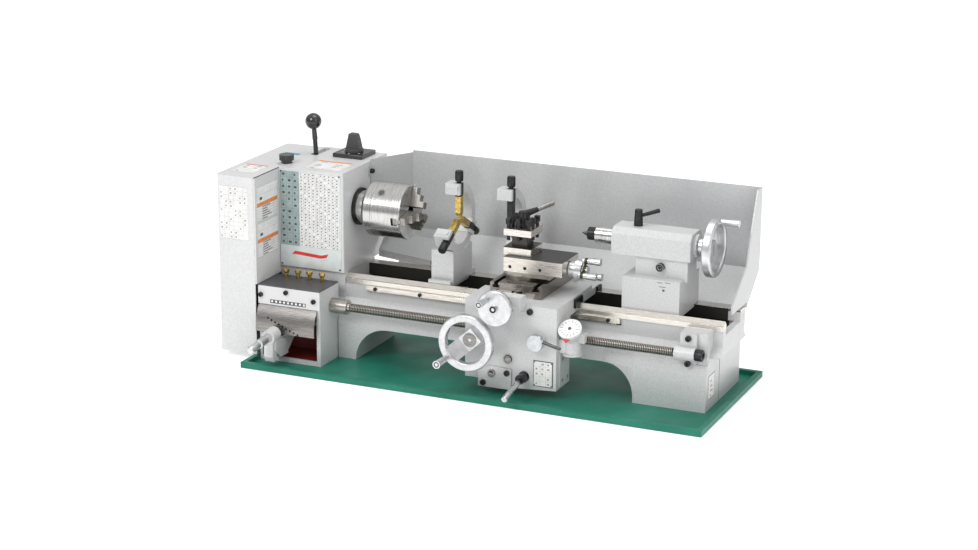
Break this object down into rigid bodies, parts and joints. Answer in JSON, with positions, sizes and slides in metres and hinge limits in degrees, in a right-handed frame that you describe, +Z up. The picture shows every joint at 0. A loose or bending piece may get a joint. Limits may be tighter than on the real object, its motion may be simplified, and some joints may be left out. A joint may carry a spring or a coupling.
{
  "type": "bench lathe",
  "caption": "Small metalworking bench lathe on a chip tray: belt-driven headstock and chuck, screw-cutting carriage, tailstock, steady and follow rests, and a rear splash guard.",
  "frame": {"origin": "centre of the drip tray's underside", "axes": "+X along the bed from the headstock to the tailstock, +Y away from the operator, +Z up"},
  "size_m": [0.9335, 0.3988, 0.415],
  "materials": {
    "tray_enamel": "green enamel on pressed steel",
    "guard_paint": "grey speckled paint on sheet steel",
    "casting_paint": "light grey hammertone paint on cast iron",
    "ground_steel": "ground and scraped steel",
    "turned_steel": "turned steel",
    "chart_plate": "printed metal plate",
    "motor_paint": "dark grey paint",
    "bearing_steel": "blackened bearing caps",
    "belt_rubber": "matt",
    "index_steel": "brushed steel plate",
    "oiler_brass": "polished brass",
    "black_oxide": "black oxide",
    "black_plastic": "moulded black plastic",
    "grey_plastic": "moulded dark grey plastic",
    "wheel_chrome": "polished plated metal",
    "gear_steel": "cut steel gears",
    "nut_bronze": "machined bronze",
    "dial_enamel": "white enamelled dial"
  },
  "bodies": {
    "frame": {"drip_tray": "tray_enamel", "splash_guard": "guard_paint", "bed": "casting_paint", "feed_rack": "ground_steel", "leadscrew_bracket": "casting_paint", "headstock": "casting_paint", "headstock_plates": "chart_plate", "motor": "motor_paint", "spindle_bearings": "bearing_steel", "drive_belt": "belt_rubber", "gearbox_housing": "casting_paint", "gearbox_plates": "index_steel", "oilers": "oiler_brass", "frame_screws": "black_oxide"},
    "gear_cover": {"gear_cover": "casting_paint"},
    "cover_knob": {"cover_knob": "black_plastic"},
    "belt_lever": {"belt_lever": "black_plastic"},
    "switch_knob": {"switch_knob": "grey_plastic"},
    "spindle": {"spindle": "turned_steel", "spindle_pulley": "gear_steel", "chuck_body": "turned_steel"},
    "chuck_scroll": {"chuck_scroll": "gear_steel"},
    "chuck_jaw_1": {"chuck_jaw_1": "turned_steel"},
    "chuck_jaw_2": {"chuck_jaw_2": "turned_steel"},
    "chuck_jaw_3": {"chuck_jaw_3": "turned_steel"},
    "motor_pulley": {"motor_pulley": "gear_steel"},
    "idler_gear": {"idler_gear": "gear_steel"},
    "cone_gears": {"cone_gears": "gear_steel"},
    "layshaft_gears": {"layshaft_gears": "gear_steel"},
    "leadscrew": {"leadscrew": "turned_steel"},
    "selector_sleeve": {"selector_sleeve": "gear_steel"},
    "selector_lever": {"selector_lever": "casting_paint"},
    "selector_plunger": {"selector_plunger": "wheel_chrome"},
    "carriage": {"saddle": "casting_paint", "apron": "casting_paint", "carriage_fittings": "black_oxide", "follow_frame": "casting_paint"},
    "handwheel": {"handwheel": "wheel_chrome"},
    "rack_pinion": {"rack_pinion": "gear_steel"},
    "cross_wheel": {"cross_wheel": "wheel_chrome"},
    "cross_slide": {"cross_slide": "ground_steel"},
    "compound_base": {"compound_base": "ground_steel"},
    "top_slide": {"top_slide": "ground_steel"},
    "compound_crank": {"compound_crank": "wheel_chrome"},
    "tool_post": {"tool_post": "ground_steel", "tool_post_screws": "black_oxide"},
    "tool_post_lever": {"tool_post_lever": "black_oxide"},
    "half_nut_lever": {"half_nut_lever": "wheel_chrome"},
    "half_nut": {"half_nut": "nut_bronze"},
    "feed_lever": {"feed_lever": "black_oxide"},
    "thread_dial": {"thread_dial": "dial_enamel"},
    "tailstock": {"tailstock": "casting_paint"},
    "quill": {"quill": "turned_steel"},
    "tailstock_wheel": {"tailstock_wheel": "wheel_chrome"},
    "quill_lock": {"quill_lock": "black_oxide"},
    "steady_rest": {"steady_frame": "casting_paint"},
    "steady_finger_1": {"steady_finger_1": "oiler_brass"},
    "steady_finger_2": {"steady_finger_2": "oiler_brass"},
    "steady_finger_3": {"steady_finger_3": "oiler_brass"},
    "follow_finger": {"follow_finger": "oiler_brass"}
  },
  "joints": [
    {"name": "gear_cover_hinge", "type": "hinge", "parent": "frame", "child": "gear_cover", "pos_m": [-0.4195, 0.1527, 0.17], "axis": [0, 0, -1], "range_deg": [0, 100]},
    {"name": "cover_knob_turn", "type": "hinge", "parent": "frame", "child": "cover_knob", "pos_m": [-0.4245, 0.0007, 0.345], "axis": [0, 0, 1], "continuous": true},
    {"name": "belt_lever_swing", "type": "hinge", "parent": "frame", "child": "belt_lever", "pos_m": [-0.409, 0.0897, 0.3], "axis": [-1, 0, 0], "range_deg": [0, 38]},
    {"name": "switch_turn", "type": "hinge", "parent": "frame", "child": "switch_knob", "pos_m": [-0.3405, 0.1047, 0.35], "axis": [0, 0, 1], "range_deg": [-45, 45]},
    {"name": "spindle_spin", "type": "hinge", "parent": "frame", "child": "spindle", "pos_m": [-0.2935, 0.0317, 0.2656], "axis": [1, 0, 0], "continuous": true},
    {"name": "scroll_turn", "type": "hinge", "parent": "spindle", "child": "chuck_scroll", "pos_m": [-0.2175, 0.0317, 0.2656], "axis": [1, 0, 0], "range_deg": [-360, 860]},
    {"name": "jaw_1_slide", "type": "slide", "parent": "spindle", "child": "chuck_jaw_1", "axis": [0, -0.9848, -0.1736], "range_m": [-0.0051, 0.0121]},
    {"name": "jaw_2_slide", "type": "slide", "parent": "spindle", "child": "chuck_jaw_2", "axis": [0, 0.6428, -0.766], "range_m": [-0.0051, 0.0121]},
    {"name": "jaw_3_slide", "type": "slide", "parent": "spindle", "child": "chuck_jaw_3", "axis": [0, 0.342, 0.9397], "range_m": [-0.0051, 0.0121]},
    {"name": "motor_spin", "type": "hinge", "parent": "frame", "child": "motor_pulley", "pos_m": [-0.4635, 0.1187, 0.214], "axis": [1, 0, 0], "continuous": true},
    {"name": "idler_spin", "type": "hinge", "parent": "frame", "child": "idler_gear", "pos_m": [-0.4365, -0.00252, 0.18971], "axis": [1, 0, 0], "continuous": true},
    {"name": "cone_spin", "type": "hinge", "parent": "frame", "child": "cone_gears", "pos_m": [-0.3935, -0.0683, 0.105], "axis": [1, 0, 0], "continuous": true},
    {"name": "layshaft_spin", "type": "hinge", "parent": "frame", "child": "layshaft_gears", "pos_m": [-0.3535, -0.0683, 0.068], "axis": [1, 0, 0], "continuous": true},
    {"name": "leadscrew_spin", "type": "hinge", "parent": "frame", "child": "leadscrew", "pos_m": [0.0065, -0.0683, 0.105], "axis": [1, 0, 0], "continuous": true},
    {"name": "selector_slide", "type": "slide", "parent": "frame", "child": "selector_sleeve", "axis": [1, 0, 0], "range_m": [0, 0.036]},
    {"name": "selector_swing", "type": "hinge", "parent": "selector_sleeve", "child": "selector_lever", "pos_m": [-0.3795, -0.0683, 0.068], "axis": [1, 0, 0], "range_deg": [-3, 5]},
    {"name": "plunger_pull", "type": "slide", "parent": "selector_lever", "child": "selector_plunger", "axis": [0, -0.9969, -0.0785], "range_m": [0, 0.008], "stiffness_N_per_m": 400},
    {"name": "carriage_slide", "type": "slide", "parent": "frame", "child": "carriage", "axis": [1, 0, 0], "range_m": [-0.035, 0.03]},
    {"name": "handwheel_turn", "type": "hinge", "parent": "carriage", "child": "handwheel", "pos_m": [0.0043, -0.1583, 0.1028], "axis": [0, 1, 0], "range_deg": [-612, 525]},
    {"name": "pinion_turn", "type": "hinge", "parent": "carriage", "child": "rack_pinion", "pos_m": [0.03651, -0.0293, 0.12075], "axis": [0, 1, 0], "range_deg": [-232, 270]},
    {"name": "cross_wheel_turn", "type": "hinge", "parent": "carriage", "child": "cross_wheel", "pos_m": [0.0585, -0.1583, 0.1715], "axis": [0, 1, 0], "range_deg": [-5340, 1740]},
    {"name": "cross_feed", "type": "slide", "parent": "carriage", "child": "cross_slide", "axis": [0, 1, 0], "range_m": [-0.037, 0.012]},
    {"name": "compound_swivel", "type": "hinge", "parent": "cross_slide", "child": "compound_base", "pos_m": [0.0445, -0.0103, 0.192], "axis": [0, 0, 1], "range_deg": [-45, 30]},
    {"name": "compound_feed", "type": "slide", "parent": "compound_base", "child": "top_slide", "axis": [1, 0, 0], "range_m": [-0.015, 0.01]},
    {"name": "crank_turn", "type": "hinge", "parent": "top_slide", "child": "compound_crank", "pos_m": [0.1515, -0.0103, 0.21], "axis": [1, 0, 0], "range_deg": [-2710, 1810]},
    {"name": "tool_post_turn", "type": "hinge", "parent": "top_slide", "child": "tool_post", "pos_m": [0.0445, -0.0103, 0.255], "axis": [0, 0, 1], "continuous": true},
    {"name": "tool_post_lever_turn", "type": "hinge", "parent": "top_slide", "child": "tool_post_lever", "pos_m": [0.0445, -0.0103, 0.297], "axis": [0, 0, 1], "range_deg": [-60, 20]},
    {"name": "half_nut_lever_turn", "type": "hinge", "parent": "carriage", "child": "half_nut_lever", "pos_m": [0.1175, -0.1183, 0.107], "axis": [0, 1, 0], "range_deg": [0, 30]},
    {"name": "half_nut_close", "type": "slide", "parent": "carriage", "child": "half_nut", "axis": [0, 0, -1], "range_m": [0, 0.00505]},
    {"name": "feed_lever_tilt", "type": "hinge", "parent": "carriage", "child": "feed_lever", "pos_m": [0.0925, -0.1183, 0.04], "axis": [1, 0, 0], "range_deg": [-12, 8]},
    {"name": "dial_turn", "type": "hinge", "parent": "carriage", "child": "thread_dial", "pos_m": [0.1725, -0.0923, 0.114], "axis": [0, -0.5736, 0.8192], "continuous": true},
    {"name": "tailstock_slide", "type": "slide", "parent": "frame", "child": "tailstock", "axis": [1, 0, 0], "range_m": [-0.035, 0.05]},
    {"name": "tailstock_wheel_turn", "type": "hinge", "parent": "tailstock", "child": "tailstock_wheel", "pos_m": [0.3765, 0.0317, 0.2656], "axis": [-1, 0, 0], "range_deg": [-2592, 3600]},
    {"name": "quill_feed", "type": "slide", "parent": "tailstock", "child": "quill", "axis": [-1, 0, 0], "range_m": [-0.0181, 0.0251]},
    {"name": "quill_lock_turn", "type": "hinge", "parent": "tailstock", "child": "quill_lock", "pos_m": [0.2415, 0.0317, 0.3], "axis": [0, 0, 1], "range_deg": [-30, 60]},
    {"name": "steady_slide", "type": "slide", "parent": "frame", "child": "steady_rest", "axis": [1, 0, 0], "range_m": [-0.01, 0.01]},
    {"name": "steady_finger_1_slide", "type": "slide", "parent": "steady_rest", "child": "steady_finger_1", "axis": [0, 0, 1], "range_m": [0, 0.02]},
    {"name": "steady_finger_2_slide", "type": "slide", "parent": "steady_rest", "child": "steady_finger_2", "axis": [0, -0.866, -0.5], "range_m": [0, 0.02]},
    {"name": "steady_finger_3_slide", "type": "slide", "parent": "steady_rest", "child": "steady_finger_3", "axis": [0, 0.866, -0.5], "range_m": [0, 0.02]},
    {"name": "follow_finger_slide", "type": "slide", "parent": "carriage", "child": "follow_finger", "axis": [0, 0, 1], "range_m": [0, 0.02]}
  ],
  "couplings": [
    {"joint": "jaw_1_slide", "follows": "scroll_turn", "m_per_rad": 0.00079577},
    {"joint": "jaw_2_slide", "follows": "scroll_turn", "m_per_rad": 0.00079577},
    {"joint": "jaw_3_slide", "follows": "scroll_turn", "m_per_rad": 0.00079577},
    {"joint": "motor_spin", "follows": "spindle_spin", "ratio": 1.8},
    {"joint": "idler_spin", "follows": "spindle_spin", "ratio": -0.37037},
    {"joint": "cone_spin", "follows": "spindle_spin", "ratio": 0.48387},
    {"joint": "layshaft_spin", "follows": "spindle_spin", "ratio": -0.41129},
    {"joint": "leadscrew_spin", "follows": "spindle_spin", "ratio": 0.41129},
    {"joint": "handwheel_turn", "follows": "carriage_slide", "rad_per_m": 303.7},
    {"joint": "pinion_turn", "follows": "carriage_slide", "rad_per_m": -133.33},
    {"joint": "cross_wheel_turn", "follows": "cross_feed", "rad_per_m": 2513.3},
    {"joint": "crank_turn", "follows": "compound_feed", "rad_per_m": 3141.6},
    {"joint": "quill_feed", "follows": "tailstock_wheel_turn", "m_per_rad": 0.00039789},
    {"joint": "half_nut_close", "follows": "half_nut_lever_turn", "m_per_rad": 0.0095493}
  ]
}
